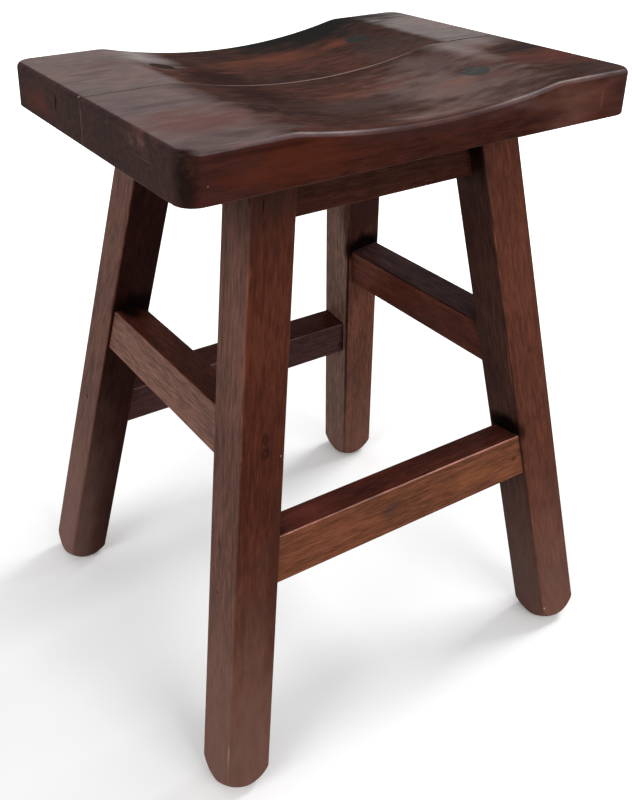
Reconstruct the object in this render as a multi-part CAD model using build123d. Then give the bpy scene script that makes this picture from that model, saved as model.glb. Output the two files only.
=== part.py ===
from build123d import *
from collections import namedtuple
import math
import os

# Sizes of the whole stool, in millimetres: X along the seat, -Y the front, Z up from the floor
stool_height = 610.0
leg_foot_x = 205.0
leg_foot_y = 185.5
leg_top_x = 120.0
leg_top_y = 94.0

# The saddle seat and its hollow, which grows shallower and narrower from the joint to the front edge
seat_length = 464.0
seat_depth = 340.0
seat_thickness = 42.0
seat_corner_radius = 18.0
seat_top_arris = 5.0
seat_bottom_arris = 1.0
hollow_depth = 16.5
hollow_half_width = 140.0
hollow_front_depth = 12.0
hollow_front_half_width = 135.0
hollow_front_land = 10.0
ridge_radius = 60.0

# The glued joint between the two seat boards
joint_behind_centre = 6.0
joint_arris = 0.6
tongue_thickness = 6.0
tongue_width = 24.0
tongue_stop = 36.0
tongue_above_underside = 12.5

# The square legs and their domed feet
leg_size = 45.0
leg_arris = 3.0
foot_dome_margin = 0.8
foot_flat_depth = 2.0

# The stretchers, the long ones front and rear, the short ones at the sides and higher up
stretcher_thickness = 35.0
stretcher_height = 45.0
stretcher_arris = 1.5
stretcher_setback = 4.0
long_stretcher_top = 242.7
side_stretcher_top = 353.2
stretcher_tenon_thickness = 12.0
stretcher_tenon_height = 30.0
stretcher_tenon_length = 28.0

# The aprons under the seat
apron_thickness = 22.0
apron_drop = 55.0
apron_arris = 1.5
apron_setback = 20.0
apron_tenon_thickness = 10.0
apron_tenon_height = 32.0
apron_tenon_length = 14.0
apron_tenon_bottom_shoulder = 8.0

# The flange-head screws that hold the seat to the legs, each sunk under a round plug
plug_radius = 12.5
seat_web = 17.0
screw_radius = 4.0
screw_length = 75.0
screw_head_flats = 13.0
screw_head_height = 5.3
screw_flange_radius = 8.5
screw_flange_thickness = 1.6
plug_above_head = 0.6

# Fits shared by the joints, and one overrun for every cut
fit_clearance = 0.1
mortise_end_gap = 1.5
tenon_mitre_gap = 0.5
overrun = 5.0

seat_underside = stool_height - seat_thickness

# How the legs splay along one axis: half spread at the floor, lean per unit of height, width in plan
Splay = namedtuple("Splay", "foot lean width")


def splay(foot, top):
    lean = (foot - top) / seat_underside
    return Splay(foot, lean, leg_size / math.cos(math.atan(lean)))


splay_x = splay(leg_foot_x, leg_top_x)
splay_y = splay(leg_foot_y, leg_top_y)


def outer_face(side, height):
    return side.foot - side.lean * height + side.width / 2


def leg_axis(height):
    return Vector(splay_x.foot - splay_x.lean * height, splay_y.foot - splay_y.lean * height, height)


leg_direction = (leg_axis(seat_underside) - leg_axis(0)).normalized()
leg_top_plane = Plane(origin=leg_axis(seat_underside), z_dir=leg_direction)

# The four corners and how a piece made for the rear right corner is mirrored to each
corners = {
    "front_left": (Plane.YZ, Plane.XZ),
    "front_right": (Plane.XZ,),
    "rear_left": (Plane.YZ,),
    "rear_right": (),
}


def at_corner(piece, corner):
    for mirror_plane in corners[corner]:
        piece = mirror(piece, about=mirror_plane)
    return piece


def all_corners(piece):
    return [at_corner(piece, corner) for corner in corners]


# Saddle seat

def hollow_section(y, depth, half_width):
    """Section of the hollow at one distance from front to rear: a shallow arc, open above."""
    above = stool_height + overrun
    outline = [
        ThreePointArc((-half_width, stool_height), (0, stool_height - depth), (half_width, stool_height)),
        Line((half_width, stool_height), (half_width, above)),
        Line((half_width, above), (-half_width, above)),
        Line((-half_width, above), (-half_width, stool_height)),
    ]
    return Plane.XZ.offset(-y) * make_face(outline)


def on_rim(edge):
    centre = edge.center()
    inside_length = seat_length / 2 - seat_corner_radius
    inside_depth = seat_depth / 2 - seat_corner_radius
    return abs(centre.X) > inside_length or abs(centre.Y) > inside_depth


def on_joint(edge):
    return all(abs(vertex.Y - joint_behind_centre) < fit_clearance for vertex in edge.vertices())


def level_rim(board):
    """The outer edges of a board, without the upright ones and those at the joint."""
    rim = board.edges().filter_by(lambda edge: on_rim(edge) and not on_joint(edge))
    return rim - board.edges().filter_by(Axis.Z)


def hollow_cut():
    """One arc behind the joint, and a ruled scoop that rises from the joint to a level strip at the front."""
    edge_y = seat_depth / 2 + overrun
    land_y = seat_depth / 2 - hollow_front_land
    middle = hollow_section(joint_behind_centre, hollow_depth, hollow_half_width)
    front = hollow_section(-land_y, hollow_front_depth, hollow_front_half_width)
    rear_cut = extrude(middle, amount=edge_y - joint_behind_centre, dir=(0, 1, 0))
    front_cut = extrude(front, amount=edge_y - land_y, dir=(0, -1, 0))
    return loft([front, middle], ruled=True) + rear_cut + front_cut


def board_blank(keep):
    """One board of the rounded plank, scooped, with a soft ridge at each end and eased outer arrises."""
    plan = Plane.XY.offset(seat_underside) * RectangleRounded(seat_length, seat_depth, seat_corner_radius)
    plank = extrude(plan, amount=seat_thickness)
    board = split(plank, bisect_by=Plane.XZ.offset(-joint_behind_centre), keep=keep) - hollow_cut()
    inner = board.edges().filter_by(lambda edge: not on_rim(edge) and not on_joint(edge))
    board = fillet(inner, ridge_radius)
    rim_middle = seat_underside + seat_thickness / 2
    board = fillet(level_rim(board).filter_by(lambda edge: edge.center().Z > rim_middle), seat_top_arris)
    return chamfer(level_rim(board).filter_by(lambda edge: edge.center().Z < rim_middle), seat_bottom_arris)


def along_leg(radius, start, end):
    """A round bar on the leg's axis, between two distances from the leg's top."""
    bar = Cylinder(radius, end - start, align=(Align.CENTER, Align.CENTER, Align.MIN))
    return leg_top_plane.offset(start) * bar


plug_start = seat_web + screw_head_height + plug_above_head


def seat_bores():
    through = along_leg(screw_radius + fit_clearance, -seat_thickness, seat_thickness)
    counterbore = along_leg(plug_radius, seat_web, seat_web + seat_thickness + overrun)
    return all_corners(through) + all_corners(counterbore)


def joint_tongue(growth):
    """The loose tongue glued into both boards, or with a growth the stopped grooves that hold it."""
    centre = Pos(0, joint_behind_centre, seat_underside + tongue_above_underside)
    length = seat_length - 2 * tongue_stop
    return centre * Box(length + growth, tongue_width + growth, tongue_thickness + growth)


def seat_board(blank):
    """A board with its joint arrises eased, grooved for the tongue and bored for the screws."""
    upright = blank.faces().filter_by(Axis.Y)
    joint_face = upright.sort_by(lambda face: abs(face.center().Y - joint_behind_centre))[0]
    board = chamfer(joint_face.edges(), joint_arris)
    return board - joint_tongue(2 * fit_clearance) - seat_bores()


def plug(blank, corner):
    """A round plug over the screw's head, trimmed flush with the board's top."""
    bar = along_leg(plug_radius - fit_clearance, plug_start, plug_start + seat_thickness)
    return at_corner(bar, corner) & blank


def seat_screw():
    """A flange-head screw whose flange bears on the web of wood under the counterbore."""
    shank = along_leg(screw_radius, seat_web - screw_length, seat_web)
    flange = along_leg(screw_flange_radius, seat_web, seat_web + screw_flange_thickness)
    hexagon = leg_top_plane.offset(seat_web) * RegularPolygon(screw_head_flats / 2, 6, major_radius=False)
    return shank + flange + extrude(hexagon, amount=screw_head_height)


# Rails, made along X at the rear and turned or mirrored to their places

Rail = namedtuple("Rail", "along across centre angle")


def rail_frame(along, across, outer, height, thickness, centre_up):
    """Where a rail's section lies: rolled with the legs, its centre above or below its outer arris."""
    roll = math.atan(across.lean)
    inward = thickness / 2
    centre = (
        outer - inward * math.cos(roll) - centre_up * math.sin(roll),
        height - inward * math.sin(roll) + centre_up * math.cos(roll),
    )
    return Rail(along, across, centre, math.degrees(roll))


def rail_bar(rail, section, reach):
    """A bar of this section that ends parallel with the leg's inner faces, this far past them."""
    half_length = rail.along.foot + rail.along.width
    placed = Plane.YZ * Location((*rail.centre, 0), (0, 0, rail.angle)) * section
    bar = extrude(placed, amount=half_length, both=True)
    shoulder = rail.along.foot - rail.along.width / 2 + reach
    for side in (1, -1):
        end = Plane(origin=(side * shoulder, 0, 0), z_dir=(side, 0, rail.along.lean))
        bar = split(bar, bisect_by=end, keep=Keep.BOTTOM)
    return bar


def mitre(bar, rail, gap):
    """Cuts both ends where this rail's tenon meets the tenon of the rail round the corner."""
    outer_x = outer_face(rail.along, 0) - gap
    outer_y = outer_face(rail.across, 0)
    for side in (1, -1):
        plane = Plane(
            origin=(side * outer_x, outer_y, 0),
            z_dir=(side, -1, rail.along.lean - rail.across.lean),
        )
        bar = split(bar, bisect_by=plane, keep=Keep.BOTTOM)
    return bar


def stretcher_rail(along, across, top):
    outer = outer_face(across, top) - stretcher_setback
    return rail_frame(along, across, outer, top, stretcher_thickness, -stretcher_height / 2)


def stretcher(rail):
    body = rail_bar(rail, RectangleRounded(stretcher_thickness, stretcher_height, stretcher_arris), 0)
    tenon = Rectangle(stretcher_tenon_thickness, stretcher_tenon_height)
    return body + rail_bar(rail, tenon, stretcher_tenon_length)


def stretcher_mortise(rail):
    opening = Rectangle(
        stretcher_tenon_thickness + 2 * fit_clearance,
        stretcher_tenon_height + 2 * fit_clearance,
    )
    return rail_bar(rail, opening, stretcher_tenon_length + mortise_end_gap)


apron_bottom = seat_underside - apron_drop


def apron_rail(along, across):
    outer = outer_face(across, apron_bottom) - apron_setback
    return rail_frame(along, across, outer, apron_bottom, apron_thickness, apron_drop / 2 + overrun)


def apron_tenon(growth):
    middle = apron_tenon_bottom_shoulder + apron_tenon_height / 2
    shift = middle - apron_drop / 2 - overrun
    return Pos(0, shift) * Rectangle(apron_tenon_thickness + growth, apron_tenon_height + growth)


def apron(rail):
    height = apron_drop + 2 * overrun
    body = rail_bar(rail, RectangleRounded(apron_thickness, height, apron_arris), 0)
    body = split(body, bisect_by=Plane.XY.offset(seat_underside), keep=Keep.BOTTOM)
    return body + mitre(rail_bar(rail, apron_tenon(0), apron_tenon_length), rail, tenon_mitre_gap)


def apron_mortise(rail):
    opening = apron_tenon(2 * fit_clearance)
    return rail_bar(rail, opening, apron_tenon_length + mortise_end_gap)


def turned(piece):
    """Swaps X and Y, for what runs from front to rear."""
    return mirror(piece, about=Plane(origin=(0, 0, 0), z_dir=(1, -1, 0)))


# Legs

def leg(mortises):
    """A square post splayed both ways, domed at the foot and mortised for the rails."""
    section = Pos(*leg_axis(0)) * Rectangle(splay_x.width, splay_y.width)
    length = (leg_axis(seat_underside) - leg_axis(0)).length
    post = extrude(section, amount=length, dir=leg_direction)
    level = post.edges().filter_by(Axis.X) + post.edges().filter_by(Axis.Y)
    post = fillet(post.edges() - level, leg_arris)
    dome_radius = math.hypot(splay_x.width, splay_y.width) / 2 + foot_dome_margin
    dome_height = dome_radius - foot_flat_depth
    dome_plane = Plane.XY.offset(dome_height)
    dome = Pos(*leg_axis(dome_height)) * Sphere(dome_radius)
    foot = split(post, bisect_by=dome_plane, keep=Keep.BOTTOM) & dome
    shaft = split(post, bisect_by=dome_plane, keep=Keep.TOP)
    pilot = along_leg(screw_radius + fit_clearance, seat_web - screw_length - overrun, overrun)
    return (shaft + foot) - mortises - pilot


long_stretcher = stretcher_rail(splay_x, splay_y, long_stretcher_top)
side_stretcher = stretcher_rail(splay_y, splay_x, side_stretcher_top)
long_apron = apron_rail(splay_x, splay_y)
side_apron = apron_rail(splay_y, splay_x)

mortises = [
    stretcher_mortise(long_stretcher),
    turned(stretcher_mortise(side_stretcher)),
    apron_mortise(long_apron),
    turned(apron_mortise(side_apron)),
]

nodes = {}

blanks = {"front": board_blank(Keep.TOP), "rear": board_blank(Keep.BOTTOM)}
for place, blank in blanks.items():
    nodes["seat_" + place + "_board"] = seat_board(blank)
    for side in ("left", "right"):
        corner = place + "_" + side
        nodes["seat_plug_" + corner] = plug(blank, corner)
nodes["seat_joint_tongue"] = joint_tongue(0)

rear_right_leg = leg(mortises)
for corner in corners:
    nodes["leg_" + corner] = at_corner(rear_right_leg, corner)

nodes["seat_screws"] = Compound(children=all_corners(seat_screw()))

for name, make, long_rail, side_rail in (
    ("apron", apron, long_apron, side_apron),
    ("stretcher", stretcher, long_stretcher, side_stretcher),
):
    nodes[name + "_rear"] = make(long_rail)
    nodes[name + "_front"] = mirror(nodes[name + "_rear"], about=Plane.XZ)
    nodes[name + "_right"] = turned(make(side_rail))
    nodes[name + "_left"] = mirror(nodes[name + "_right"], about=Plane.YZ)

os.makedirs("parts", exist_ok=True)
for name, piece in nodes.items():
    export_step(piece, "parts/" + name + ".step")
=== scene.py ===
from collections import namedtuple
import math

import bmesh
import bpy
from mathutils import Matrix, Vector


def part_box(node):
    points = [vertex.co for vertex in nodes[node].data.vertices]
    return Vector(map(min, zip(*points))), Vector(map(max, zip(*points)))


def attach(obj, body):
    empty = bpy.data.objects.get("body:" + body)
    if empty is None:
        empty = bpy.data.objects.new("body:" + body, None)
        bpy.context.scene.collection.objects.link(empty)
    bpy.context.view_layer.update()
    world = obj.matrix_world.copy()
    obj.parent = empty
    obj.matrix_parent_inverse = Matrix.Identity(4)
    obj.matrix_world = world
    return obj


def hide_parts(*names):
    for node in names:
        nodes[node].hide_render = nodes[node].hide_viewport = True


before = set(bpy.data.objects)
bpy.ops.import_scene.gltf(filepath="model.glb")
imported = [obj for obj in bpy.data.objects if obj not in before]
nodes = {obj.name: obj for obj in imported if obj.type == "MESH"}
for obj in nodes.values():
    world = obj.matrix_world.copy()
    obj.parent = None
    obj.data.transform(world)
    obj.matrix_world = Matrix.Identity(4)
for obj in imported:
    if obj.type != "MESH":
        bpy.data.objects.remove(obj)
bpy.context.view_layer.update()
scene = bpy.context.scene

# The camera that sees the stool as in the photograph, in metres and degrees
camera_place = (-0.523701, -0.727827, 0.817585)
camera_turn = (65.16942, 0.38711, -31.30374)
camera_lens = 43.88983
camera_shift = (0.095643, -0.166547)

# The floor: its colour to the eye and in the light that it throws back, and from where to where, in metres from the
# stool, it fades into the white backdrop
floor_radius = 6.0
floor_facets = 96
floor_roughness = 0.9
floor_colour = (0.95, 0.95, 0.95, 1.0)
floor_bounce = (0.45, 0.45, 0.45, 1.0)
floor_fade = (0.05, 2.2)
floor_lift = 0.9
backdrop_white = (1.0, 1.0, 1.0, 1.0)

# The sky's light on the object, and where the lamps aim
sky_level = 0.5
lamp_target = (0.0, 0.0, 0.4)

# Each lamp: its place, its width and height, and its power
lamps = {
    "right window": ((2.4, 0.1, 2.9), (1.4, 1.4), 75.0),
    "left window": ((-2.6, -0.5, 1.3), (1.6, 1.6), 40.0),
    "front fill": ((0.3, -2.8, 1.4), (1.8, 1.8), 42.0),
}

# The stool's sizes that its finish and its finer seat boards follow, as in the part
leg_foot = (0.205, 0.1855)
leg_top = (0.120, 0.094)
seat_thickness = 0.042
seat_top = 0.610
seat_corner_radius = 0.018
seat_top_arris = 0.005
seat_bottom_arris = 0.001
joint_y = 0.006
joint_arris = 0.0006
ridge_radius = 0.060
hollow_front_y = -0.160
tongue_groove = (0.3922, 0.0242, 0.0062)
tongue_height = 0.0125
bores = {"plug": (0.0125, 0.017, 0.064), "screw": (0.0041, -0.042, 0.042)}
millimetre = 0.001
seat_underside = seat_top - seat_thickness
seat_middle = seat_top - seat_thickness / 2
leg_lean = [(foot - top) / seat_underside for foot, top in zip(leg_foot, leg_top)]

# The hollow's depth and half width, behind the joint and at the front
Hollow = namedtuple("Hollow", "depth half_width")
hollow_at_joint = Hollow(0.0165, 0.140)
hollow_at_front = Hollow(0.012, 0.135)

# How finely the boards are modelled
strip_width = 0.003
strip_length = 0.008
corner_facets = 14
arris_facets = 6
bore_facets = 64

# The bends from which the arrises and the joint's edges are eased, and the bend up to which faces are shaded as one
arris_bend = math.radians(40)
joint_bend = math.radians(30)
smooth_bend = math.radians(30)

# How fine the wood's patterns are, a metre: across the grain, through it and along it
wander_scale = (16, 16, 3.5)
fibre_scale = (700, 700, 60)
pore_scale = (900, 900, 120)
mottle_scale = (170, 170, 50)
streak_scale = (220, 220, 16)
rub_scale = (60, 60, 24)
rim_scale = (90, 90, 28)
cloud_stretch = (1.0, 1.0, 0.5)

# The part of each pattern's range that is stretched over the whole of its effect
figure_range = (0.3, 0.7)
pore_range = (0.55, 0.72)
cloud_range = (0.32, 0.68)
rub_range = (0.5, 0.64)
arris_range = (0.3, 0.55)

# How far one step of a seed moves each pattern
figure_step, cloud_step, rub_step = 0.37, 1.31, 2.7

# The growth rings: their width, how far they wander, and how the pith slants to the piece
ring_width = 0.004
ring_wander = (0.016, 0.016, 0)
pith_slant = (0.03, 0.02, 0)

# What each pattern adds to the stain's tone, and the tone without them
grain_shares = {"Rings": 0.1, "Fibre": 0.34, "Streaks": 0.08}
cloud_shares = {"Clouds": 0.34, "Mottle": 0.28}
plain_tone = 0.19

# The tones between which the stain goes from dark to middle and from middle to warm, the whole range, and how much of
# the black stain a pore holds
dark_to_middle = (0.2, 0.52)
middle_to_warm = (0.48, 0.8)
tone_range = (0.2, 0.8)
pore_stain = 0.35

# A side's own tint: how much its grain and its tone lighten and darken it, and where it is at its full
side_grain = 1.5
side_light = (0.82, 1.18)
side_full = 0.96

# What lifts the grain under the lacquer and what sinks it, and how deep that goes
relief_shares = {"Rings": 0.2, "Fibre": 0.35, "Flecks": -0.4, "Worn": -0.3}
relief_strength = 0.3
relief_depth = 0.0004

# The wood's roughness from dark to pale and where it is worn, and the lacquer's own roughness and unevenness
wood_roughness = (0.36, 0.5)
worn_roughness = 0.15
lacquer_roughness = 0.36
lacquer_unevenness = (0.88, 1.12)

# Each piece's wood is another part of the same pattern, by its seed
leg_seed = 1.0
rail_seed = 5.0
front_board_seed = 15.0
rear_board_seed = 16.0
plug_seed = 20.0
tongue_seed = 25.0

# How far the tree's pith lies from the middle of a piece, in metres across and through it
leg_piths = {
    "front_left": (0.03, -0.05, 0),
    "front_right": (-0.05, 0.03, 0),
    "rear_left": (0.06, 0.02, 0),
    "rear_right": (0.02, 0.06, 0),
}
seat_pith = (0.03, -0.09, 0)


def paint(red, green, blue):
    """A colour given in a paint chart's 0 to 255 values, as the linear colour that a shader takes."""
    values = [value / 255 for value in (red, green, blue)]
    return (*[v / 12.92 if v <= 0.04045 else ((v + 0.055) / 1.055) ** 2.4 for v in values], 1.0)


# The finish's colours, and those of painted light and shade
# Black stain, which also paints the shade in the corners where rails and legs meet
black_stain_and_painted_shade = paint(14, 7, 6)
stain_dark = paint(62, 32, 24)
stain_brown = paint(74, 37, 26)
stain_warm = paint(88, 47, 33)
# Pale brown, which also paints the light that grows towards the feet and a stretcher's lighter left face
pale_brown_and_painted_light = paint(114, 83, 73)
pale_warm = paint(114, 70, 55)
honey_brown = paint(110, 66, 44)
honey_gold = paint(134, 82, 46)
apron_brown = paint(48, 26, 19)
seat_dark = paint(46, 29, 26)
seat_brown = paint(61, 39, 33)
seat_warm = paint(80, 47, 38)
front_brown = paint(50, 18, 10)
front_warm = paint(78, 33, 18)
front_leg_brown = paint(66, 30, 19)
front_right_brown = paint(94, 57, 47)
# Painted highlight along the seat's front arris
painted_arris_highlight_grey = paint(92, 76, 78)
# Painted highlight along the front stretcher's top arris
painted_arris_highlight_pink = paint(166, 112, 98)
glow_red = paint(124, 52, 40)
arris_plum = paint(44, 28, 30)
# Dark stain together with the painted shade of the seat over a leg's front
dark_stain_and_painted_seat_shade = paint(30, 13, 11)
rear_plum = paint(61, 42, 43)
plum_brown = paint(42, 26, 25)
plum_black = paint(44, 30, 31)
plum_red = paint(48, 25, 23)
# Dusky brown, which also paints the shade on a leg's inner face
dusk_brown_and_painted_shade = paint(52, 33, 29)
# Painted shade on a leg's top, under the seat
painted_under_seat_shade = paint(50, 31, 26)
# Painted sheen on a leg's left face
painted_sheen_moss_brown = paint(108, 81, 69)
end_brown = paint(41, 28, 25)
# Dark red, which also paints the shade in the pocket above the rear stretcher's end
dark_red_and_painted_pocket_shade = paint(44, 14, 11)
# Greyish brown, which also paints the lighter, greyer sheen of the legs' left faces
grey_brown_and_painted_sheen = paint(90, 62, 53)
dull_brown = paint(54, 40, 36)
red_brown = paint(84, 42, 34)
bare_orange = paint(150, 88, 58)
bare_brown = paint(122, 76, 56)
pale_chip = paint(190, 156, 130)
orange_streak = paint(112, 62, 45)
# Pink streaks, which also paint a sheen on the seat and a highlight on the rear stretcher's arris
pink_streak_and_painted_highlight = paint(102, 72, 65)
ink_grey = paint(28, 26, 25)
smoke_brown = paint(60, 42, 39)
# Painted sheen and glare on the seat, grey and pink
painted_sheen_grey = paint(128, 112, 110)
painted_sheen_pink = paint(104, 72, 70)
# Glue in the joint, and the painted highlight along it
glue_and_painted_highlight_grey = paint(140, 118, 112)
plug_green = paint(38, 41, 37)
zinc = paint(176, 178, 180)
zinc_cloud = paint(128, 128, 122)
zinc_cloud_scale = 240.0
zinc_roughness = (0.28, 0.5)

# A mark on a piece: its place and half size in the stool's own millimetres, the tint and the sheen that it lays over
# the finish, how much of the tint, how wide its soft rim is, and how ragged
Mark = namedtuple("Mark", "place half_size tint strength softness sheen ragged", defaults=(1.6,))

# The level ends of the seat, with more lacquer sheen than the hollow and a painted grey and pink sheen, and under them
# every other mark of its boards
rear_board_ends = (
    Mark((-1000, 60, 616), (872, 3000, 200), painted_sheen_pink, 0.15, 0.02, 0.53, 0.5),
    Mark((1000, 60, 616), (846, 3000, 200), painted_sheen_grey, 0.2, 0.02, 0.56, 0.5),
)
front_board_ends = (Mark((-1000, -20, 616), (872, 3000, 200), painted_sheen_pink, 0.25, 0.04, 0.5, 0.5),)
rear_board_marks = (
    Mark((115, 30, 605), (60, 60, 30), dull_brown, 0.5, 0.9, 0.12),
    Mark((-86, 45, 600), (44, 80, 20), plum_brown, 0.9, 0.8, 0.03),
    Mark((22, 98, 600), (95, 28, 30), orange_streak, 0.45, 1.0, 0.05),
    Mark((95, 96, 605), (30, 24, 30), orange_streak, 0.5, 1.0, 0.06),
    Mark((90, 168, 610), (164, 80, 46), ink_grey, 1.0, 0.6, 0.04),
    # a painted glare at the hollow's rear left
    Mark((-114, 140, 610), (40, 84, 30), painted_sheen_grey, 0.4, 1.0, 0.75, 0.6),
    Mark((-170, 104, 612), (46, 18, 40), red_brown, 0.4, 1.0, 0.42),
    Mark((-184, 76, 612), (44, 10, 40), plum_brown, 0.5, 1.0, 0.44),
    # the glue line, with a painted highlight along it
    Mark((5, 6, 600), (132, 1.2, 30), glue_and_painted_highlight_grey, 0.8, 0.3, 0.1),
    Mark((-190, 6, 610), (60, 0.9, 8), black_stain_and_painted_shade, 0.7, 0.3, 0.1),
    Mark((190, 6, 610), (64, 1.3, 8), black_stain_and_painted_shade, 0.95, 0.4, 0.02),
    Mark((185, 17, 610), (45, 1.2, 8), black_stain_and_painted_shade, 0.5, 0.6, 0.2),
    Mark((-232, 105, 584), (8, 50, 18), red_brown, 0.5, 0.9, 0.05),
    Mark((-232, 61, 594), (4, 2.0, 8), black_stain_and_painted_shade, 0.85, 0.6, 0.02),
    Mark((-232, 64, 588), (4, 1.2, 5), black_stain_and_painted_shade, 0.8, 0.6, 0.02),
    # the glue line down the end, with a painted highlight
    Mark((-232, 6, 590), (3, 0.7, 20), glue_and_painted_highlight_grey, 0.35, 0.3, 0.1),
    Mark((-230, 12, 609), (3, 1.0, 1.0), pale_chip, 0.5, 0.3, 0.1),
)
front_board_marks = (
    # painted sheen on the right end
    Mark((186, 2, 612), (72, 54, 16), painted_sheen_grey, 0.25, 1.0, 0.5, 0.6),
    Mark((75, -95, 605), (110, 110, 30), seat_warm, 0.5, 1.0, 0.47),
    Mark((-84, -30, 600), (44, 60, 20), plum_brown, 0.9, 0.8, 0.03),
    Mark((-28, -95, 600), (60, 36, 30), smoke_brown, 0.6, 0.9, 0.12),
    Mark((5, -62, 600), (66, 20, 30), orange_streak, 0.5, 1.0, 0.12),
    # a pink streak with a painted sheen
    Mark((60, -110, 600), (66, 26, 30), pink_streak_and_painted_highlight, 0.5, 1.0, 0.36),
    Mark((146, -78, 604), (34, 16, 30), red_brown, 0.6, 1.0, 0.24),
    Mark((84, -96, 600), (30, 18, 30), bare_brown, 0.4, 1.0, 0.32),
    Mark((120, -112, 602), (30, 16, 30), red_brown, 0.6, 1.0, 0.32),
    # painted sheen at the front of the hollow
    Mark((10, -152, 606), (70, 24, 18), pink_streak_and_painted_highlight, 0.5, 1.0, 0.42),
    Mark((100, -35, 605), (40, 50, 30), ink_grey, 0.3, 1.0, 0.34, 1.0),
    Mark((-180, -106, 612), (80, 42, 40), red_brown, 0.85, 0.9, 0.32),
    Mark((-172, -74, 612), (64, 8, 40), red_brown, 0.6, 0.9, 0.36),
    Mark((-186, -48, 612), (56, 7, 40), plum_brown, 0.5, 0.9, 0.42),
    Mark((-170, -150, 612), (70, 18, 40), plum_brown, 0.5, 0.9, 0.3),
    # painted sheen along the right ridge
    Mark((150, -26, 608), (30, 70, 40), painted_sheen_grey, 0.3, 1.0, 0.44, 0.6),
    Mark((205, -54, 612), (60, 28, 18), ink_grey, 0.85, 0.9, 0.06),
    Mark((196, -96, 612), (60, 34, 18), red_brown, 0.7, 1.0, 0.08),
    Mark((205, -150, 612), (60, 30, 18), plum_brown, 0.7, 1.0, 0.1),
    # the glue line, with a painted highlight along it
    Mark((5, 6, 600), (132, 1.2, 30), glue_and_painted_highlight_grey, 0.8, 0.3, 0.1),
    Mark((-190, 6, 610), (60, 0.9, 8), black_stain_and_painted_shade, 0.7, 0.3, 0.1),
    Mark((190, 6, 610), (64, 1.3, 8), black_stain_and_painted_shade, 0.95, 0.4, 0.02),
    Mark((-140, -172, 590), (80, 8, 26), front_warm, 0.7, 0.8, 0.05),
    Mark((158, -172, 590), (76, 8, 44), front_right_brown, 0.7, 1.0, 0.13, 1.2),
    Mark((232, -172, 590), (44, 8, 44), dusk_brown_and_painted_shade, 0.5, 0.9, 0.06, 0.6),
    Mark((-227, -165, 586), (13, 13, 60), black_stain_and_painted_shade, 0.85, 0.8, 0.03, 0.5),
    Mark((-160, -172, 602), (76, 6, 3.4), black_stain_and_painted_shade, 0.6, 0.9, 0.03, 0.6),
    # dims the painted arris highlight in the middle of the rim
    Mark((0, -170, 597), (112, 9, 14), plum_red, 0.6, 0.6, 0.07, 0.6),
    Mark((190, -172, 590), (3.0, 6, 16), orange_streak, 0.6, 0.9, 0.1),
    Mark((-212, -170, 583.5), (0.7, 3, 0.7), pale_chip, 0.3, 0.4, 0.1),
    Mark((-190, -166, 610), (34, 0.7, 1.4), pale_chip, 0.3, 0.9, 0.3),
    Mark((-232, -110, 590), (3, 14, 0.5), grey_brown_and_painted_sheen, 0.6, 0.5, 0.1),
)

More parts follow.
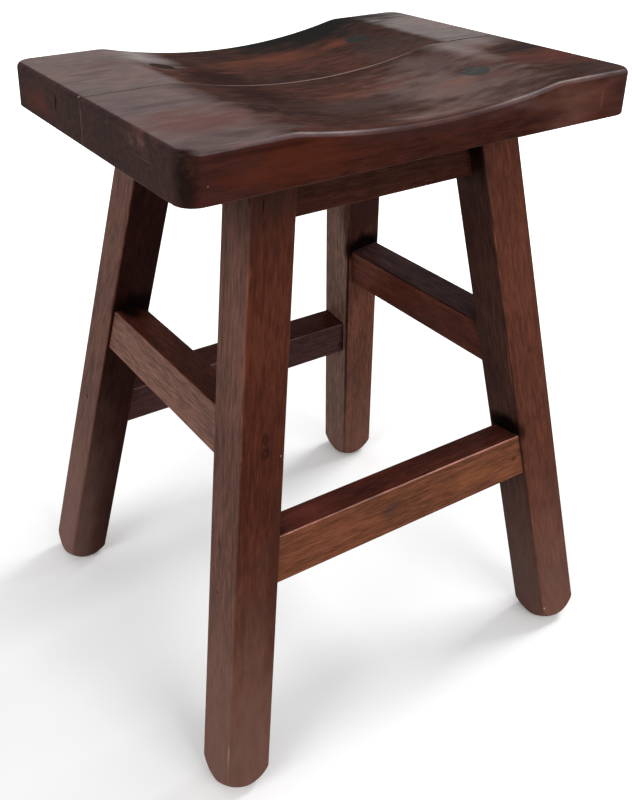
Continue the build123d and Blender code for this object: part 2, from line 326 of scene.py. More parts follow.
# The knots, cracks and worn spots of the legs and the stretchers, with painted shade in the corners where they meet
# and under the seat, and painted light towards the feet
leg_marks = {
    "front_left": (
        # painted light, paler towards the foot
        Mark((-205, -186, -20), (90, 90, 330), pale_brown_and_painted_light, 0.84, 1.0, 0.19, 0.4),
        # painted shade on the leg's top under the seat
        Mark((-125, -100, 575), (80, 80, 120), painted_under_seat_shade, 1.0, 1.0, 0.03, 0.5),
        Mark((-154, -172, 210), (16, 30, 130), stain_dark, 0.6, 0.8, 0.06),
        Mark((-153, -154, 341), (6, 8, 8), black_stain_and_painted_shade, 0.62, 0.7, 0.05, 1.0),
        Mark((-153, -154, 341), (2.2, 8, 3.2), front_warm, 0.5, 0.7, 0.05, 1.0),
        Mark((-154, -155, 328), (6, 8, 7), black_stain_and_painted_shade, 0.58, 0.7, 0.05, 1.0),
        Mark((-154, -155, 328), (2.4, 8, 2.8), front_warm, 0.5, 0.7, 0.05, 1.0),
        Mark((-135, -122, 538), (1.0, 5, 9), black_stain_and_painted_shade, 0.85, 0.5, 0.02),
        Mark((-136, -122, 522), (0.8, 5, 6), black_stain_and_painted_shade, 0.7, 0.5, 0.02),
        Mark((-147, -119, 543), (3, 1.0, 6), black_stain_and_painted_shade, 0.7, 0.5, 0.02),
        Mark((-192, -140, 238), (5, 4, 9), stain_dark, 0.5, 0.9, 0.1),
        Mark((-199, -148, 192), (4, 2.5, 2), black_stain_and_painted_shade, 0.6, 0.6, 0.05),
        Mark((-154, -130, 485), (3, 3, 8), orange_streak, 0.4, 0.8, 0.1),
        Mark((-220, -199, 50), (1.2, 1.2, 16), pale_chip, 0.3, 0.9, 0.2),
        Mark((-139, -157, 321), (0.8, 3, 0.8), pale_chip, 0.5, 0.3, 0.1),
    ),
    "front_right": (
        # painted light, paler towards the foot
        Mark((205, -186, -20), (90, 90, 300), pale_brown_and_painted_light, 0.6, 1.0, 0.18, 0.4),
        Mark((180, -140, 20), (30, 60, 200), smoke_brown, 0.6, 0.9, 0.2, 0.5),
        Mark((157, -154, 335), (4, 4, 7), black_stain_and_painted_shade, 0.45, 0.8, 0.1),
        # painted shade above the front stretcher's end
        Mark((144, -148, 246), (14, 36, 19), black_stain_and_painted_shade, 1.0, 0.6, 0.02, 0.7),
        # painted shade in the corner under the apron and the seat
        Mark((97, -102, 544), (16, 34, 44), black_stain_and_painted_shade, 0.9, 0.6, 0.02),
        Mark((115, -134, 455), (1.2, 1.2, 16), bare_orange, 0.4, 0.8, 0.1),
        Mark((134, -153, 322), (1.2, 1.2, 44), bare_orange, 0.35, 0.9, 0.1),
        Mark((163, -186, 135), (1.2, 1.2, 30), bare_orange, 0.35, 0.9, 0.1),
        Mark((180, -204, 26), (1.2, 1.6, 2.0), pale_chip, 0.6, 0.4, 0.1),
    ),
    "rear_left": (
        # painted light, paler towards the foot
        Mark((-230, 186, -20), (60, 90, 340), pale_brown_and_painted_light, 0.8, 1.0, 0.18, 0.4),
        Mark((-180, 140, 60), (30, 60, 200), dark_red_and_painted_pocket_shade, 0.45, 0.9, 0.08, 0.6),
        # painted shade above the left stretcher's end
        Mark((-146, 105, 352), (38, 16, 24), black_stain_and_painted_shade, 1.0, 0.6, 0.02, 0.7),
        Mark((-193, 150, 234), (4, 5, 2), black_stain_and_painted_shade, 0.6, 0.6, 0.05),
    ),
    "rear_right": (
        # painted light, paler towards the foot
        Mark((205, 186, -20), (90, 90, 300), pale_brown_and_painted_light, 0.4, 1.0, 0.15, 0.4),
        Mark((147, 98, 398), (46, 22, 56), plum_red, 0.9, 0.6, 0.04),
        # painted shade above the right stretcher's end
        Mark((150, 104, 352), (44, 16, 25), black_stain_and_painted_shade, 1.0, 0.6, 0.02, 0.7),
        # painted shade above the rear stretcher's end
        Mark((132, 145, 252), (14, 30, 16), dark_red_and_painted_pocket_shade, 0.85, 0.8, 0.05, 0.8),
        Mark((124, 123, 387), (3, 6, 8), pale_brown_and_painted_light, 0.35, 0.9, 0.2),
    ),
}
rail_marks = {
    # painted shade at the rear stretcher's end by the leg
    "stretcher_rear": (Mark((150, 146, 220), (9, 30, 60), black_stain_and_painted_shade, 0.8, 0.8, 0.02),),
    "stretcher_front": (
        Mark((-89, -141, 239), (5, 3, 4), black_stain_and_painted_shade, 0.4, 0.8, 0.05),
        Mark((-139, -169, 219), (4, 4, 3), black_stain_and_painted_shade, 0.5, 0.8, 0.05),
        Mark((22, -169, 220), (16, 8, 12), dull_brown, 0.6, 0.9, 0.1),
        Mark((104, -146, 245), (50, 26, 12), glow_red, 1.0, 1.0, 0.2, 0.6),
        Mark((36, -148, 243), (26, 16, 9), plum_brown, 0.8, 1.0, 0.04, 0.8),
        Mark((-96, -166, 218), (60, 8, 18), honey_gold, 0.5, 1.0, 0.1),
        Mark((78, -166, 226), (50, 8, 16), orange_streak, 0.4, 1.0, 0.1),
        # painted shade on the stretcher's top by the right leg
        Mark((150, -146, 243), (22, 40, 10), black_stain_and_painted_shade, 0.9, 0.8, 0.02, 0.6),
    ),
    # painted shade at the side stretchers' rear ends by the legs
    "stretcher_left": (Mark((-150, 110, 353), (30, 44, 20), black_stain_and_painted_shade, 0.9, 0.8, 0.02),),
    "stretcher_right": (Mark((150, 110, 353), (30, 44, 22), black_stain_and_painted_shade, 1.0, 0.8, 0.02),),
}


class Tree:
    """Adds nodes to one shader tree. An input is a value or another node's output."""

    def __init__(self, tree):
        self.tree = tree

    def give(self, socket, value):
        if isinstance(value, bpy.types.NodeSocket):
            self.tree.links.new(value, socket)
        else:
            socket.default_value = value

    def add(self, kind, inputs=None, **settings):
        node = self.tree.nodes.new(kind)
        for name, value in settings.items():
            setattr(node, name, value)
        for name, value in (inputs or {}).items():
            self.give(node.inputs[name], value)
        return node

    def math(self, operation, first, second=0.0, third=0.0):
        values = {0: first, 1: second, 2: third}
        return self.add("ShaderNodeMath", values, operation=operation).outputs[0]

    def vector(self, operation, first, second=(0, 0, 0)):
        return self.add("ShaderNodeVectorMath", {0: first, 1: second}, operation=operation).outputs[0]

    def length(self, vector):
        return self.add("ShaderNodeVectorMath", {0: vector}, operation="LENGTH").outputs["Value"]

    def dot(self, first, second):
        return self.add("ShaderNodeVectorMath", {0: first, 1: second}, operation="DOT_PRODUCT").outputs["Value"]

    def split(self, vector):
        return self.add("ShaderNodeSeparateXYZ", {0: vector}).outputs

    def join(self, x, y, z):
        return self.add("ShaderNodeCombineXYZ", {0: x, 1: y, 2: z}).outputs[0]

    def remap(self, value, start, end, low=0.0, high=1.0):
        inputs = {"Value": value, "From Min": start, "From Max": end, "To Min": low, "To Max": high}
        return self.add("ShaderNodeMapRange", inputs, interpolation_type="SMOOTHSTEP").outputs[0]

    def blend(self, factor, first, second):
        """A value between two others."""
        inputs = {"Value": factor, "To Min": first, "To Max": second}
        return self.add("ShaderNodeMapRange", inputs).outputs[0]

    def mix(self, factor, first, second, blend="MIX"):
        node = self.add("ShaderNodeMix", data_type="RGBA", blend_type=blend)
        self.give(node.inputs[0], factor)
        self.give(node.inputs[6], first)
        self.give(node.inputs[7], second)
        return node.outputs[2]

    def noise(self, place, scale=1.0, detail=3.0, roughness=0.5, output="Fac"):
        inputs = {"Vector": place, "Scale": scale, "Detail": detail, "Roughness": roughness}
        return self.add("ShaderNodeTexNoise", inputs).outputs[output]

    def group(self, group, **inputs):
        node = self.tree.nodes.new("ShaderNodeGroup")
        node.node_tree = group
        for name, value in inputs.items():
            self.give(node.inputs[name.replace("_", " ")], value)
        return node.outputs


def new_group(name, inputs, outputs):
    """An empty node group, its tree, the sockets that come in, and a function that sets what goes out."""
    group = bpy.data.node_groups.new(name, "ShaderNodeTree")
    for label, value in inputs.items():
        kind = "Float" if isinstance(value, float) else {3: "Vector", 4: "Color"}[len(value)]
        socket = group.interface.new_socket(name=label, in_out="INPUT", socket_type="NodeSocket" + kind)
        socket.default_value = value
    for label, kind in outputs.items():
        group.interface.new_socket(name=label, in_out="OUTPUT", socket_type="NodeSocket" + kind)
    tree = Tree(group)
    entry = group.nodes.new("NodeGroupInput").outputs
    end = group.nodes.new("NodeGroupOutput").inputs

    def leave(**values):
        for label, value in values.items():
            tree.give(end[label.replace("_", " ")], value)

    return group, tree, entry, leave


def make_figure_group():
    """The figure of sawn timber: growth rings round a slanting pith, fibre streaks and short fine pores."""
    inputs = {"Place": (0, 0, 0), "Pith": seat_pith, "Seed": 0.0}
    outputs = {"Rings": "Float", "Fibre": "Float", "Flecks": "Float"}
    group, tree, entry, leave = new_group("timber figure", inputs, outputs)
    shift = tree.math("MULTIPLY", entry["Seed"], figure_step)
    place = tree.vector("ADD", entry["Place"], tree.join(shift, shift, shift))
    wander = tree.noise(tree.vector("MULTIPLY", place, wander_scale), output="Color")
    wander = tree.vector("MULTIPLY", tree.vector("SUBTRACT", wander, (0.5, 0.5, 0.5)), ring_wander)
    along = tree.split(entry["Place"])[2]
    slant = tree.vector("MULTIPLY", pith_slant, tree.join(along, along, along))
    centre = tree.vector("SUBTRACT", tree.vector("ADD", entry["Pith"], slant), wander)
    from_pith = tree.vector("MULTIPLY", tree.vector("SUBTRACT", entry["Place"], centre), (1, 1, 0))
    turns = tree.math("DIVIDE", tree.length(from_pith), ring_width)
    inputs = {"W": tree.math("ADD", turns, entry["Seed"]), "Scale": 1.0, "Detail": 2.0}
    rings = tree.add("ShaderNodeTexNoise", inputs, noise_dimensions="1D").outputs["Fac"]
    fibre = tree.noise(tree.vector("MULTIPLY", place, fibre_scale), detail=4.0, roughness=0.65)
    flecks = tree.noise(tree.vector("MULTIPLY", place, pore_scale), detail=2.0)
    leave(
        Rings=tree.remap(rings, *figure_range),
        Fibre=tree.remap(fibre, *figure_range),
        Flecks=tree.remap(flecks, *pore_range),
    )
    return group


def make_cloud_group():
    """Where the stain took darker and lighter: broad clouds, a finer mottle and narrow streaks along the grain."""
    inputs = {"Place": (0, 0, 0), "Size": 0.05, "Seed": 0.0}
    outputs = {"Clouds": "Float", "Mottle": "Float", "Streaks": "Float"}
    group, tree, entry, leave = new_group("stain clouds", inputs, outputs)
    shift = tree.math("MULTIPLY", entry["Seed"], cloud_step)
    shift = tree.join(shift, 0.0, shift)
    size = entry["Size"]
    broad = tree.vector("MULTIPLY", entry["Place"], cloud_stretch)
    broad = tree.vector("DIVIDE", broad, tree.join(size, size, size))
    clouds = tree.noise(tree.vector("ADD", broad, shift), detail=4.0)
    fine = tree.vector("MULTIPLY", entry["Place"], mottle_scale)
    mottle = tree.noise(tree.vector("ADD", fine, shift), detail=5.0, roughness=0.6)
    narrow = tree.vector("MULTIPLY", entry["Place"], streak_scale)
    streaks = tree.noise(tree.vector("ADD", narrow, shift), detail=3.0)
    leave(
        Clouds=tree.remap(clouds, *cloud_range),
        Mottle=tree.remap(mottle, *cloud_range),
        Streaks=tree.remap(streaks, *cloud_range),
    )
    return group


def make_stain_group():
    """The stained wood's colour, from dark to warm, as its figure and its clouds take the stain."""
    inputs = {"Dark": stain_dark, "Middle": stain_brown, "Warm": stain_warm, "Rings": 0.5, "Fibre": 0.5,
              "Flecks": 0.0, "Clouds": 0.5, "Mottle": 0.5, "Streaks": 0.5, "Figure": 1.0}
    outputs = {"Colour": "Color", "Tone": "Float", "Grain": "Float"}
    group, tree, entry, leave = new_group("stained wood", inputs, outputs)
    figure = 0.0
    for label, share in grain_shares.items():
        figure = tree.math("MULTIPLY_ADD", tree.math("SUBTRACT", entry[label], 0.5), share, figure)
    grain = tree.math("MULTIPLY", figure, entry["Figure"])
    tone = tree.math("ADD", grain, plain_tone)
    for label, share in cloud_shares.items():
        tone = tree.math("MULTIPLY_ADD", entry[label], share, tone)
    colour = tree.mix(tree.remap(tone, *dark_to_middle), entry["Dark"], entry["Middle"])
    colour = tree.mix(tree.remap(tone, *middle_to_warm), colour, entry["Warm"])
    colour = tree.mix(tree.math("MULTIPLY", entry["Flecks"], pore_stain), colour, black_stain_and_painted_shade)
    leave(Colour=colour, Tone=tone, Grain=grain)
    return group


def make_arris_group():
    """Rounded arrises, known by a face that turns between two of the piece's directions, and their rubbed places."""
    inputs = {"Place": (0, 0, 0), "Across": (1, 0, 0), "Deep": (0, 1, 0), "Along": (0, 0, 1), "Seed": 0.0}
    group, tree, entry, leave = new_group("arris wear", inputs, {"Near": "Float", "Worn": "Float"})
    normal = tree.add("ShaderNodeNewGeometry").outputs["Normal"]
    turned = [tree.math("ABSOLUTE", tree.dot(normal, entry[label])) for label in ("Across", "Deep", "Along")]
    lesser = tree.math("MINIMUM", turned[0], turned[1])
    greater = tree.math("MAXIMUM", turned[0], turned[1])
    middle = tree.math("MAXIMUM", lesser, tree.math("MINIMUM", greater, turned[2]))
    near = tree.remap(middle, *arris_range)
    shift = tree.math("MULTIPLY", entry["Seed"], rub_step)
    rubbed = tree.vector("MULTIPLY", entry["Place"], rub_scale)
    rubbed = tree.noise(tree.vector("ADD", rubbed, tree.join(shift, 0.0, 0.0)), detail=5.0, roughness=0.65)
    leave(Near=near, Worn=tree.math("MULTIPLY", near, tree.remap(rubbed, *rub_range)))
    return group


def make_side_group():
    """A side of the piece tinted otherwise than the rest: where it took or kept its stain otherwise, and where light
    and shade are painted on it.
    """
    inputs = {"Side": (-1, 0, 0), "Start": 0.6, "Colour": (0, 0, 0, 1), "Tint": (1, 1, 1, 1), "Tone": 0.5,
              "Grain": 0.0, "Strength": 1.0}
    group, tree, entry, leave = new_group("side tint", inputs, {"Colour": "Color", "Mask": "Float"})
    normal = tree.add("ShaderNodeNewGeometry").outputs["Normal"]
    mask = tree.remap(tree.dot(normal, entry["Side"]), entry["Start"], side_full)
    light = tree.remap(entry["Tone"], *tone_range, *side_light)
    light = tree.math("MULTIPLY_ADD", entry["Grain"], side_grain, light)
    tint = tree.mix(1.0, entry["Tint"], tree.join(light, light, light), blend="MULTIPLY")
    leave(Colour=tree.mix(tree.math("MULTIPLY", mask, entry["Strength"]), entry["Colour"], tint), Mask=mask)
    return group


def make_mark_group():
    """One soft mark at a named place, its rim broken along the grain."""
    inputs = {"Place": (0, 0, 0), "Centre": (0, 0, 0), "Half size": (0.01, 0.01, 0.01), "Softness": 0.6, "Ragged": 1.6,
              "Seed": 0.0, "Colour": (0, 0, 0, 1), "Tint": (1, 1, 1, 1), "Strength": 1.0}
    group, tree, entry, leave = new_group("mark", inputs, {"Colour": "Color", "Mask": "Float"})
    offset = tree.vector("DIVIDE", tree.vector("SUBTRACT", entry["Place"], entry["Centre"]), entry["Half size"])
    shift = tree.join(entry["Seed"], 0.0, entry["Seed"])
    rim = tree.vector("MULTIPLY", entry["Place"], rim_scale)
    ragged = tree.noise(tree.vector("ADD", rim, shift), detail=5.0)
    ragged = tree.math("MULTIPLY", tree.math("SUBTRACT", ragged, 0.5), entry["Softness"])
    distance = tree.math("MULTIPLY_ADD", ragged, entry["Ragged"], tree.length(offset))
    mask = tree.remap(distance, tree.math("SUBTRACT", 1.0, entry["Softness"]), 1.0, 1.0, 0.0)
    leave(Colour=tree.mix(tree.math("MULTIPLY", mask, entry["Strength"]), entry["Colour"], entry["Tint"]), Mask=mask)
    return group


def make_relief_group():
    """The height of the grain under the lacquer, for a bump."""
    inputs = {"Rings": 0.5, "Fibre": 0.5, "Flecks": 0.0, "Worn": 0.0}
    group, tree, entry, leave = new_group("grain relief", inputs, {"Height": "Float"})
    height = 0.0
    for label, share in relief_shares.items():
        height = tree.math("MULTIPLY_ADD", entry[label], share, height)
    leave(Height=height)
    return group


figure_group = make_figure_group()
cloud_group = make_cloud_group()
stain_group = make_stain_group()
arris_group = make_arris_group()
side_group = make_side_group()
mark_group = make_mark_group()
relief_group = make_relief_group()


def nearest_axis(direction):
    """Which of X, Y and Z a direction runs most along."""
    return max(range(3), key=lambda axis: abs(direction[axis]))


def stained_timber(name, origin, directions, seed, pith, cloud_size=0.05,
                   colours=(stain_dark, stain_brown, stain_warm), grounds=(), sides=(), marks=(), wear=0.3,
                   sheen=0.1, arris_sheen=0.25, figured=1.0):
    """A dark reddish-brown stained and lacquered piece, its grain along its own length."""
    material = bpy.data.materials.new(name)
    material.use_nodes = True
    tree = Tree(material.node_tree)
    shader = material.node_tree.nodes["Principled BSDF"]
    across, deep, along = directions
    turn = Matrix(directions).transposed()
    point = tree.add("ShaderNodeTexCoord").outputs["Object"]
    inputs = {"Vector": point, "Location": origin, "Rotation": turn.to_euler()}
    place = tree.add("ShaderNodeMapping", inputs, vector_type="TEXTURE").outputs[0]
    figure = tree.group(figure_group, Place=place, Pith=pith, Seed=seed)
    clouds = tree.group(cloud_group, Place=place, Size=cloud_size, Seed=seed)
    stain = tree.group(stain_group, Dark=colours[0], Middle=colours[1], Warm=colours[2], Rings=figure["Rings"],
                       Fibre=figure["Fibre"], Flecks=figure["Flecks"], Clouds=clouds["Clouds"],
                       Mottle=clouds["Mottle"], Streaks=clouds["Streaks"], Figure=figured)
    colour = stain["Colour"]
    arris = tree.group(arris_group, Place=place, Across=across, Deep=deep, Along=along, Seed=seed)
    coat = tree.blend(arris["Near"], sheen, arris_sheen)

    def lay(marks, colour, coat):
        for number, mark in enumerate(marks):
            centre = turn.transposed() @ (Vector(mark.place) * millimetre - Vector(origin))
            half = [mark.half_size[nearest_axis(direction)] * millimetre for direction in directions]
            made = tree.group(mark_group, Place=place, Centre=centre, Half_size=half,
                              Softness=mark.softness, Ragged=mark.ragged, Seed=seed + number, Colour=colour,
                              Tint=mark.tint, Strength=mark.strength)
            colour = made["Colour"]
            coat = tree.blend(made["Mask"], coat, mark.sheen)
        return colour, coat

    colour, coat = lay(grounds, colour, coat)
    for side in sides:
        made = tree.group(side_group, Side=Vector(side.way).normalized(), Start=side.start, Colour=colour,
                          Tint=side.tint, Tone=stain["Tone"], Grain=stain["Grain"], Strength=side.strength)
        colour = made["Colour"]
        coat = tree.blend(made["Mask"], coat, side.sheen)
    colour, coat = lay(marks, colour, coat)
    colour = tree.mix(tree.math("MULTIPLY", arris["Worn"], wear), colour, bare_brown)
    tree.give(shader.inputs["Base Color"], colour)
    roughness = tree.remap(stain["Tone"], *tone_range, *wood_roughness)
    tree.give(shader.inputs["Roughness"], tree.math("MULTIPLY_ADD", arris["Worn"], worn_roughness, roughness))
    uneven = tree.blend(clouds["Mottle"], *lacquer_unevenness)
    tree.give(shader.inputs["Coat Weight"], tree.math("MULTIPLY", coat, uneven))
    shader.inputs["Coat Roughness"].default_value = lacquer_roughness
    shader.inputs["Specular IOR Level"].default_value = 0.0
    height = tree.group(relief_group, Rings=figure["Rings"], Fibre=figure["Fibre"], Flecks=figure["Flecks"],
                        Worn=arris["Worn"])["Height"]
    bump = {"Strength": relief_strength, "Distance": relief_depth, "Height": height}
    tree.give(shader.inputs["Normal"], tree.add("ShaderNodeBump", bump).outputs["Normal"])
    return material


def dress(node_name, material):
    """Gives a piece one material all over."""
    for slot in nodes[node_name].material_slots:
        slot.material = material


left, right, front, rear, up = (-1, 0, 0), (1, 0, 0), (0, -1, 0), (0, 1, 0), (0, 0, 1)

# A side or an arris that differs from the rest of its piece, some by their own stain and some by painted light and
# shade: which way it faces, its own finish, and how nearly that way a face has to look before the finish starts
Side = namedtuple("Side", "way tint strength sheen start", defaults=(0.1, 0.6))
arris_start = 0.76
narrow_arris_start = 0.82
# The legs' left faces painted lighter and greyer, a painted sheen
painted_sheen_left_side = Side(left, grey_brown_and_painted_sheen, 0.8, 0.13)
leg_sides = {
    "front_left": (painted_sheen_left_side, Side(front, front_leg_brown, 0.4, 0.05)),
    # its inner left face darkened: painted shade
    "front_right": (Side(left, dusk_brown_and_painted_shade, 0.75), Side(front, stain_warm, 0.5)),
    # its front face: darker stain and painted shade under the seat
    "rear_left": (painted_sheen_left_side, Side(front, dark_stain_and_painted_seat_shade, 0.9, 0.05)),
    # its left face painted lighter and greyer, a painted sheen
    "rear_right": (Side(left, painted_sheen_moss_brown, 0.85, 0.14), Side(front, pale_warm, 0.6, 0.1),
                   Side((-1, -1, 0), black_stain_and_painted_shade, 0.8, 0.02, arris_start)),
}


def dress_legs():
    """The legs' wood, its grain along each leg's own axis."""
    for number, (corner, pith) in enumerate(leg_piths.items()):
        end, hand = corner.split("_")
        side_x = -1 if hand == "left" else 1
        side_y = -1 if end == "front" else 1
        origin = (side_x * leg_foot[0], side_y * leg_foot[1], 0)
        along = Vector((-side_x * leg_lean[0], -side_y * leg_lean[1], 1)).normalized()
        across = Vector((0, 1, 0)).cross(along).normalized()
        directions = (across, along.cross(across), along)
        title = "leg wood " + corner.replace("_", " ")
        dress("leg_" + corner, stained_timber(title, origin, directions, leg_seed + number, pith,
              sides=leg_sides[corner], marks=leg_marks[corner]))


rail_sides = {
    "stretcher_front": (Side(front, honey_brown, 0.7), Side(up, red_brown, 0.6, 0.05),
                        # painted highlight along the top front arris
                        Side((0, -0.59, 0.81), painted_arris_highlight_pink, 0.9, 0.6, narrow_arris_start)),
    # the left stretcher's outer face painted lighter and greyer, a painted sheen
    "stretcher_left": (Side(left, pale_brown_and_painted_light, 0.7, 0.13), Side(up, red_brown, 0.5, 0.06)),
    "stretcher_right": (Side(up, plum_black, 0.9, 0.08),
                        Side((-0.81, 0, 0.59), black_stain_and_painted_shade, 0.85, 0.02, narrow_arris_start)),
    "stretcher_rear": (Side(front, rear_plum, 0.8, 0.06), Side(up, plum_red, 0.7, 0.08),
                       # painted highlight along the top front arris
                       Side((0, -0.81, 0.59), pink_streak_and_painted_highlight, 0.6, 0.4, narrow_arris_start)),
    "apron_front": (Side(front, apron_brown, 0.8, 0.04),),
}


def dress_rail(node_name, side, along_x, seed, pith):
    """A stretcher or apron, rolled with the legs' lean, so that its outer face is parallel to theirs."""
    low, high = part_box(node_name)
    origin = (Vector(low) + Vector(high)) / 2
    roll = math.atan(leg_lean[1] if along_x else leg_lean[0])
    out, rise = (side * math.cos(roll), math.sin(roll)), (-side * math.sin(roll), math.cos(roll))
    if along_x:
        directions = ((0, *out), (0, *rise), (1, 0, 0))
    else:
        directions = ((out[0], 0, out[1]), (rise[0], 0, rise[1]), (0, 1, 0))
    title = node_name.replace("_", " ") + " wood"
    dress(node_name, stained_timber(title, origin, directions, seed, pith, sides=rail_sides.get(node_name, ()),
          marks=rail_marks.get(node_name, ())))


def dress_rails():
    """The stretchers' and the aprons' wood."""
    sides = {"front": (-1, True), "rear": (1, True), "left": (-1, False), "right": (1, False)}
    for row, kind in enumerate(("stretcher", "apron")):
        for number, (where, (side, along_x)) in enumerate(sides.items()):
            pith = (0.04 - 0.02 * number, 0.05, 0)
            dress_rail(kind + "_" + where, side, along_x, rail_seed + len(sides) * row + number, pith)


# The seat's ends, edges and two of its arrises
seat_sides = (
    Side(left, end_brown, 0.8, 0.06),
    Side(right, end_brown, 0.8, 0.06),
    Side(rear, front_brown, 0.68, 0.05),
    Side(front, front_brown, 0.74, 0.04),
    Side((-1, 0, 1), arris_plum, 0.8, 0.12, arris_start),
    # the front arris: a painted highlight
    Side((0, -1, 1), painted_arris_highlight_grey, 0.6, 0.34, narrow_arris_start),
)


def hollow_height(x, y):
    """How far the seat's top lies below its level ends: one arc behind the joint, a ruled scoop before it."""
    share = min(max((joint_y - y) / (joint_y - hollow_front_y), 0.0), 1.0)
    depth, half_width = [a + (b - a) * share for a, b in zip(hollow_at_joint, hollow_at_front)]
    radius = (half_width ** 2 + depth ** 2) / (2 * depth)
    ridge_x = math.sqrt(depth * (2 * radius + 2 * ridge_radius - depth))
    turn_x = ridge_x * radius / (radius + ridge_radius)
    out = abs(x)
    if out >= ridge_x:
        return 0.0
    if out > turn_x:
        return math.sqrt(ridge_radius ** 2 - (ridge_x - out) ** 2) - ridge_radius
    return radius - depth - math.sqrt(radius ** 2 - x ** 2)


def select_edges(piece, wanted):
    """Selects the edges that a test of both their ends and the bend at them picks."""
    mesh = bmesh.from_edit_mesh(piece.data)
    for edge in mesh.edges:
        first, second = [vertex.co for vertex in edge.verts]
        bend = edge.calc_face_angle(0.0)
        edge.select_set(wanted(first, second, bend))
    mesh.select_flush_mode()
    bmesh.update_edit_mesh(piece.data)


def evenly(start, end, step):
    """Places from start to end, in even steps as near to the given one as they come."""
    count = max(1, round(abs(end - start) / step))
    return [start + (end - start) * number / count for number in range(count + 1)]


def cut_away(piece):
    """Cuts the piece that was just added out of another, and removes it."""
    cutter = bpy.context.object
    bpy.ops.object.transform_apply(location=True, rotation=True, scale=True)
    cut = piece.modifiers.new("cut", "BOOLEAN")
    cut.object = cutter
    bpy.context.view_layer.objects.active = piece
    bpy.ops.object.modifier_apply(modifier=cut.name)
    bpy.data.objects.remove(cutter)


def shape_board(board, outer_y):
    """Rounds the corners, divides the top into fine strips, scoops it and eases the arrises."""
    def on_corner(a, b, bend):
        return abs(a.z - b.z) > millimetre and a.y == b.y and abs(a.y - outer_y) < millimetre

    def on_joint(a, b, bend):
        reach = millimetre / 10
        return bend > joint_bend and abs(a.y - joint_y) < reach and abs(b.y - joint_y) < reach

    def on_arris(a, b, bend, top):
        same_side = (a.z > seat_middle) == (b.z > seat_middle) == top
        return bend > arris_bend and same_side and not on_joint(a, b, bend)

    bpy.ops.object.mode_set(mode="EDIT")
    bpy.ops.mesh.select_mode(type="EDGE")
    select_edges(board, on_corner)
    bpy.ops.mesh.bevel(offset=seat_corner_radius, segments=corner_facets, affect="EDGES")
    inner_x = max(vertex.co.x for vertex in bmesh.from_edit_mesh(board.data).verts) - seat_corner_radius
    inner_y = outer_y - math.copysign(seat_corner_radius, outer_y)
    cuts = [((x, 0, 0), (1, 0, 0)) for x in evenly(-inner_x, inner_x, strip_width)]
    cuts += [((0, y, 0), (0, 1, 0)) for y in evenly(inner_y, joint_y, strip_length)[:-1]]
    for place, way in cuts:
        bpy.ops.mesh.select_all(action="SELECT")
        bpy.ops.mesh.bisect(plane_co=place, plane_no=way)
    mesh = bmesh.from_edit_mesh(board.data)
    for vertex in mesh.verts:
        if vertex.co.z > seat_middle:
            vertex.co.z = seat_top + hollow_height(vertex.co.x, vertex.co.y)
    bmesh.update_edit_mesh(board.data)
    select_edges(board, lambda a, b, bend: on_arris(a, b, bend, True))
    bpy.ops.mesh.bevel(offset=seat_top_arris, segments=arris_facets, affect="EDGES")
    select_edges(board, lambda a, b, bend: on_arris(a, b, bend, False))
    bpy.ops.mesh.bevel(offset=seat_bottom_arris, segments=1, affect="EDGES")
    select_edges(board, on_joint)
    bpy.ops.mesh.bevel(offset=joint_arris, segments=1, affect="EDGES")
    bpy.ops.object.mode_set(mode="OBJECT")


def bore_board(board, end):
    """The stopped groove for the tongue, and at each leg a bore for the screw and a wider one for its plug."""
    bpy.ops.mesh.primitive_cube_add(size=1, location=(0, joint_y, seat_underside + tongue_height), scale=tongue_groove)
    cut_away(board)
    for side in (-1, 1):
        along = Vector((-side * leg_lean[0], -end * leg_lean[1], 1)).normalized()
        top = Vector((side * leg_top[0], end * leg_top[1], seat_underside))
        for radius, low, high in bores.values():
            bpy.ops.mesh.primitive_cylinder_add(vertices=bore_facets, radius=radius, depth=high - low,
                                                location=top + along * (low + high) / 2,
                                                rotation=along.to_track_quat("Z", "Y").to_euler())
            cut_away(board)


def model_board(node_name, end):
    """A seat board of the part's own sizes, in finer facets, so that its sheen runs evenly along the arris."""
    low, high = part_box(node_name)
    bpy.ops.object.select_all(action="DESELECT")
    bpy.ops.mesh.primitive_cube_add(size=1, location=(low + high) / 2, scale=high - low)
    bpy.ops.object.transform_apply(location=True, rotation=True, scale=True)
    board = bpy.context.object
    board.name = node_name + "_fine"
    shape_board(board, low[1] if end < 0 else high[1])
    bore_board(board, end)
    bpy.ops.object.select_all(action="DESELECT")
    board.select_set(True)
    bpy.ops.object.shade_smooth_by_angle(angle=smooth_bend)
    even = board.modifiers.new("even", "WEIGHTED_NORMAL")
    even.keep_sharp = True
    bpy.ops.object.modifier_apply(modifier=even.name)
    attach(board, "root")
    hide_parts(node_name)
    return board


def make_seat():
    """The two fine boards, which replace the seat's own, and their wood."""
    directions = (rear, up, right)
    boards = (
        ("seat_front_board", -1, front_board_seed, front_board_ends, front_board_marks),
        ("seat_rear_board", 1, rear_board_seed, rear_board_ends, rear_board_marks),
    )
    for node_name, end, seed, ends, marks in boards:
        board = model_board(node_name, end)
        origin = (0, end * leg_top[1], seat_middle)
        wood = stained_timber(node_name.replace("_", " ") + " wood", origin, directions, seed, seat_pith,
                              cloud_size=0.06, colours=(seat_dark, seat_brown, seat_warm), grounds=ends,
                              sides=seat_sides, marks=marks, wear=0.12, sheen=0.05, arris_sheen=0.15,
                              figured=0.8)
        board.data.materials.append(wood)
        dress(node_name, wood)


# How much wax each plug kept
plug_sheens = {"front_left": 0.05, "front_right": 0.26, "rear_left": 0.05, "rear_right": 0.08}


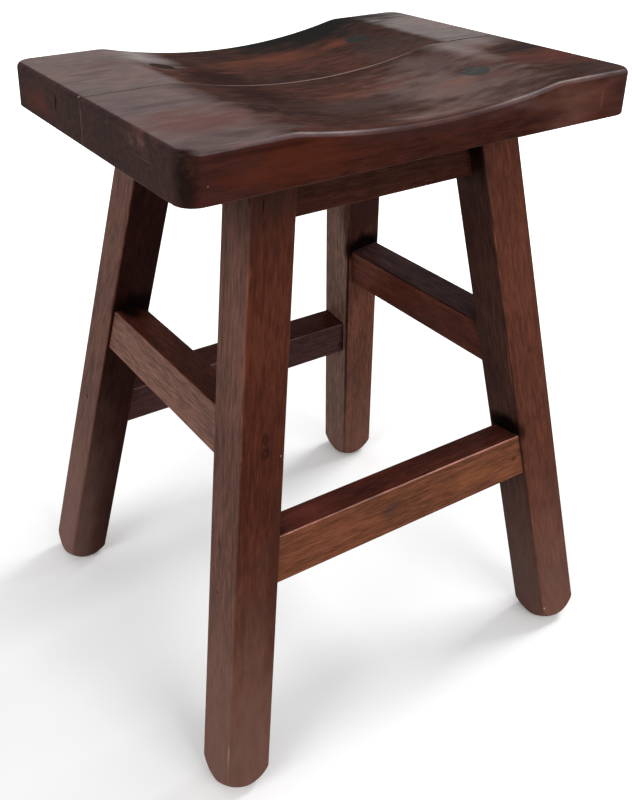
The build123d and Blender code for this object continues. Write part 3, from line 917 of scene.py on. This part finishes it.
def dress_small_pieces():
    """The plugs, the tongue in the seat's joint and the screws."""
    directions = (rear, up, right)
    for corner in leg_piths:
        low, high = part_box("seat_plug_" + corner)
        origin = (Vector(low) + Vector(high)) / 2
        title = "plug wood " + corner.replace("_", " ")
        stains = (plug_green, plug_green, dull_brown) if "right" in corner else (plum_brown, plum_brown, smoke_brown)
        dress("seat_plug_" + corner, stained_timber(title, origin, directions, plug_seed, seat_pith, wear=0.0,
              colours=stains, sheen=plug_sheens[corner]))
    dress("seat_joint_tongue", stained_timber("tongue wood", (0, joint_y, seat_top), directions, tongue_seed,
          seat_pith, wear=0.0, colours=(stain_warm, bare_orange, pale_chip)))
    dress("seat_screws", zinc_steel())


def zinc_steel():
    """Bright zinc plating, faintly clouded."""
    material = bpy.data.materials.new("zinc plated steel")
    material.use_nodes = True
    tree = Tree(material.node_tree)
    shader = material.node_tree.nodes["Principled BSDF"]
    point = tree.add("ShaderNodeTexCoord").outputs["Object"]
    clouds = tree.noise(point, scale=zinc_cloud_scale, detail=4.0)
    tree.give(shader.inputs["Base Color"], tree.mix(clouds, zinc, zinc_cloud))
    tree.give(shader.inputs["Roughness"], tree.remap(clouds, *figure_range, *zinc_roughness))
    shader.inputs["Metallic"].default_value = 1.0
    return material


def seen_rays(tree):
    """1 for rays from the camera and for those mirrored or passed through, which show the pale backdrop."""
    rays = tree.add("ShaderNodeLightPath").outputs
    seen = tree.math("MAXIMUM", rays["Is Camera Ray"], rays["Is Glossy Ray"])
    return tree.math("MAXIMUM", seen, rays["Is Transmission Ray"])


def make_floor():
    """The pale floor, which shows the stool's shadow and turns white further out."""
    bpy.ops.object.select_all(action="DESELECT")
    bpy.ops.mesh.primitive_circle_add(vertices=floor_facets, radius=floor_radius, fill_type="NGON", location=(0, 0, 0))
    floor = bpy.context.object
    floor.name = "floor"
    material = bpy.data.materials.new("pale floor")
    material.use_nodes = True
    tree = Tree(material.node_tree)
    shader = material.node_tree.nodes["Principled BSDF"]
    shader.inputs["Roughness"].default_value = floor_roughness
    shader.inputs["Specular IOR Level"].default_value = 0.0
    seen = seen_rays(tree)
    tree.give(shader.inputs["Base Color"], tree.mix(seen, floor_bounce, floor_colour))
    distance = tree.length(tree.add("ShaderNodeTexCoord").outputs["Object"])
    far = tree.math("MULTIPLY", tree.remap(distance, *floor_fade), seen)
    shader.inputs["Emission Color"].default_value = backdrop_white
    tree.give(shader.inputs["Emission Strength"], tree.blend(far, 0.0, floor_lift))
    floor.data.materials.append(material)


def make_sky():
    """The backdrop: white to the eye, dimmer as a light on the stool."""
    world = scene.world or bpy.data.worlds.new("studio")
    scene.world = world
    world.use_nodes = True
    tree = Tree(world.node_tree)
    background = world.node_tree.nodes["Background"]
    background.inputs["Color"].default_value = backdrop_white
    tree.give(background.inputs["Strength"], tree.blend(seen_rays(tree), sky_level, 1.0))


def make_lamps():
    """The soft studio lamps, each turned to the stool."""
    for name, (place, (width, height), power) in lamps.items():
        light = bpy.data.lights.new(name, "AREA")
        light.shape = "RECTANGLE"
        light.size = width
        light.size_y = height
        light.energy = power
        lamp = bpy.data.objects.new(name, light)
        lamp.location = place
        lamp.rotation_euler = (Vector(lamp_target) - Vector(place)).to_track_quat("-Z", "Y").to_euler()
        scene.collection.objects.link(lamp)


def make_camera():
    """The photograph's camera."""
    data = bpy.data.cameras.new("camera")
    data.lens = camera_lens
    data.shift_x, data.shift_y = camera_shift
    camera = bpy.data.objects.new("camera", data)
    camera.location = camera_place
    camera.rotation_euler = [math.radians(angle) for angle in camera_turn]
    scene.collection.objects.link(camera)
    scene.camera = camera


dress_legs()
dress_rails()
make_seat()
dress_small_pieces()
make_floor()
make_sky()
make_lamps()
make_camera()
scene.view_settings.view_transform = "Standard"
